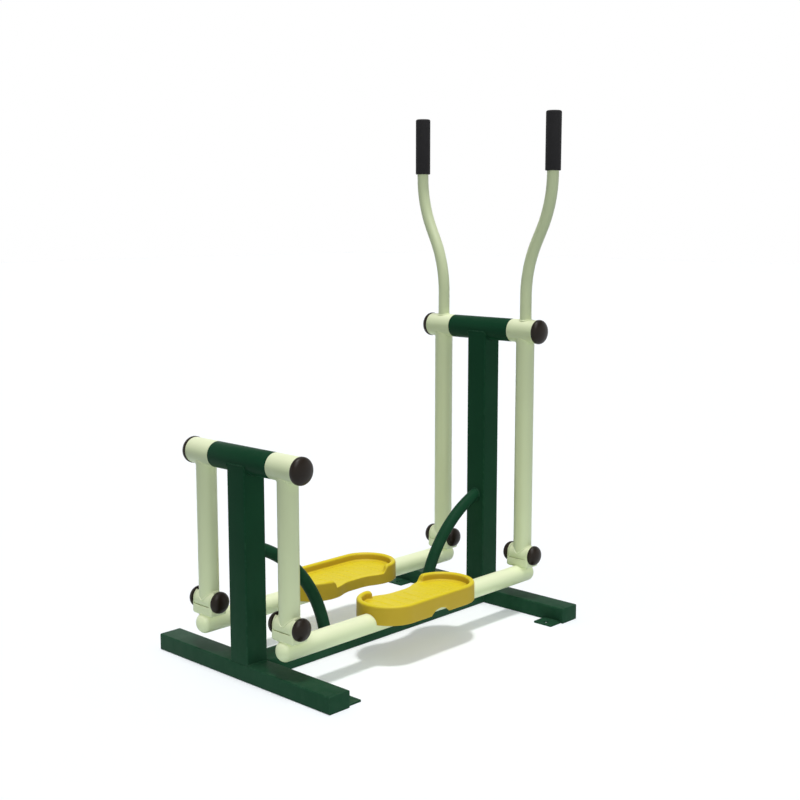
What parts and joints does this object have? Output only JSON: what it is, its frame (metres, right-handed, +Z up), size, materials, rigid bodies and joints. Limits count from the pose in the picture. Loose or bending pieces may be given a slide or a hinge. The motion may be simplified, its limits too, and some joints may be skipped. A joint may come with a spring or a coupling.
{
  "type": "outdoor air walker",
  "caption": "Outdoor stride trainer: two posts on a welded base carry swinging arms, foot bars with moulded trays and tall hand levers.",
  "frame": {"origin": "on the ground, in the middle of the base", "axes": "+X forward to the hand levers, +Y to the user's left, +Z up"},
  "size_m": [1.124, 0.75, 1.639],
  "materials": {
    "green_paint": "glossy dark green powder coat",
    "cream_paint": "glossy pale green-cream powder coat",
    "cap_plastic": "satin dark brown moulded plastic",
    "grip_rubber": "matt black rubber",
    "tray_plastic": "satin yellow moulded plastic",
    "bare_steel": "turned bare steel"
  },
  "bodies": {
    "frame": {"spine_tube": "green_paint", "rear_cross_tube": "green_paint", "rear_post": "green_paint", "rear_brace": "green_paint", "rear_axle_tube": "green_paint", "rear_axle_shaft": "bare_steel", "rear_left_anchor_plate": "green_paint", "rear_right_anchor_plate": "green_paint", "front_cross_tube": "green_paint", "front_post": "green_paint", "front_brace": "green_paint", "front_axle_tube": "green_paint", "front_axle_shaft": "bare_steel", "front_left_anchor_plate": "green_paint", "front_right_anchor_plate": "green_paint"},
    "rear_arm_left": {"rear_left_hub_sleeve": "cream_paint", "rear_left_hub_bearings": "bare_steel", "rear_left_hub_cap": "cap_plastic", "rear_left_arm_tube": "cream_paint", "rear_left_barrel": "cream_paint", "rear_left_pivot_pin": "bare_steel", "rear_left_outer_pivot_cap": "cap_plastic", "rear_left_inner_pivot_cap": "cap_plastic"},
    "front_arm_left": {"front_left_hub_sleeve": "cream_paint", "front_left_hub_bearings": "bare_steel", "front_left_hub_cap": "cap_plastic", "front_left_arm_tube": "cream_paint", "front_left_barrel": "cream_paint", "left_lever": "cream_paint", "left_grip": "grip_rubber"},
    "foot_bar_left": {"left_foot_bar": "cream_paint", "left_foot_tray": "tray_plastic", "rear_left_fork": "cream_paint", "front_left_fork": "cream_paint", "front_left_pivot_pin": "bare_steel", "front_left_outer_pivot_cap": "cap_plastic", "front_left_inner_pivot_cap": "cap_plastic"},
    "rear_arm_right": {"rear_right_hub_sleeve": "cream_paint", "rear_right_hub_bearings": "bare_steel", "rear_right_hub_cap": "cap_plastic", "rear_right_arm_tube": "cream_paint", "rear_right_barrel": "cream_paint", "rear_right_pivot_pin": "bare_steel", "rear_right_outer_pivot_cap": "cap_plastic", "rear_right_inner_pivot_cap": "cap_plastic"},
    "front_arm_right": {"front_right_hub_sleeve": "cream_paint", "front_right_hub_bearings": "bare_steel", "front_right_hub_cap": "cap_plastic", "front_right_arm_tube": "cream_paint", "front_right_barrel": "cream_paint", "right_lever": "cream_paint", "right_grip": "grip_rubber"},
    "foot_bar_right": {"right_foot_bar": "cream_paint", "right_foot_tray": "tray_plastic", "rear_right_fork": "cream_paint", "front_right_fork": "cream_paint", "front_right_pivot_pin": "bare_steel", "front_right_outer_pivot_cap": "cap_plastic", "front_right_inner_pivot_cap": "cap_plastic"}
  },
  "joints": [
    {"name": "front_arm_left_swing", "type": "hinge", "parent": "frame", "child": "front_arm_left", "pos_m": [0.52, 0.1775, 0.939], "axis": [0, 1, 0], "range_deg": [-15, 15]},
    {"name": "rear_arm_left_swing", "type": "hinge", "parent": "frame", "child": "rear_arm_left", "pos_m": [-0.52, 0.1775, 0.635], "axis": [0, 1, 0], "range_deg": [-26, 26]},
    {"name": "foot_bar_left_level", "type": "hinge", "parent": "front_arm_left", "child": "foot_bar_left", "pos_m": [0.52, 0.1775, 0.192], "axis": [0, 1, 0], "range_deg": [-16, 16]},
    {"name": "front_arm_right_swing", "type": "hinge", "parent": "frame", "child": "front_arm_right", "pos_m": [0.52, -0.1775, 0.939], "axis": [0, 1, 0], "range_deg": [-15, 15]},
    {"name": "rear_arm_right_swing", "type": "hinge", "parent": "frame", "child": "rear_arm_right", "pos_m": [-0.52, -0.1775, 0.635], "axis": [0, 1, 0], "range_deg": [-26, 26]},
    {"name": "foot_bar_right_level", "type": "hinge", "parent": "front_arm_right", "child": "foot_bar_right", "pos_m": [0.52, -0.1775, 0.192], "axis": [0, 1, 0], "range_deg": [-16, 16]}
  ],
  "couplings": [
    {"joint": "rear_arm_left_swing", "follows": "front_arm_left_swing", "ratio": 1.71},
    {"joint": "foot_bar_left_level", "follows": "front_arm_left_swing", "ratio": -1},
    {"joint": "rear_arm_right_swing", "follows": "front_arm_right_swing", "ratio": 1.71},
    {"joint": "foot_bar_right_level", "follows": "front_arm_right_swing", "ratio": -1}
  ]
}
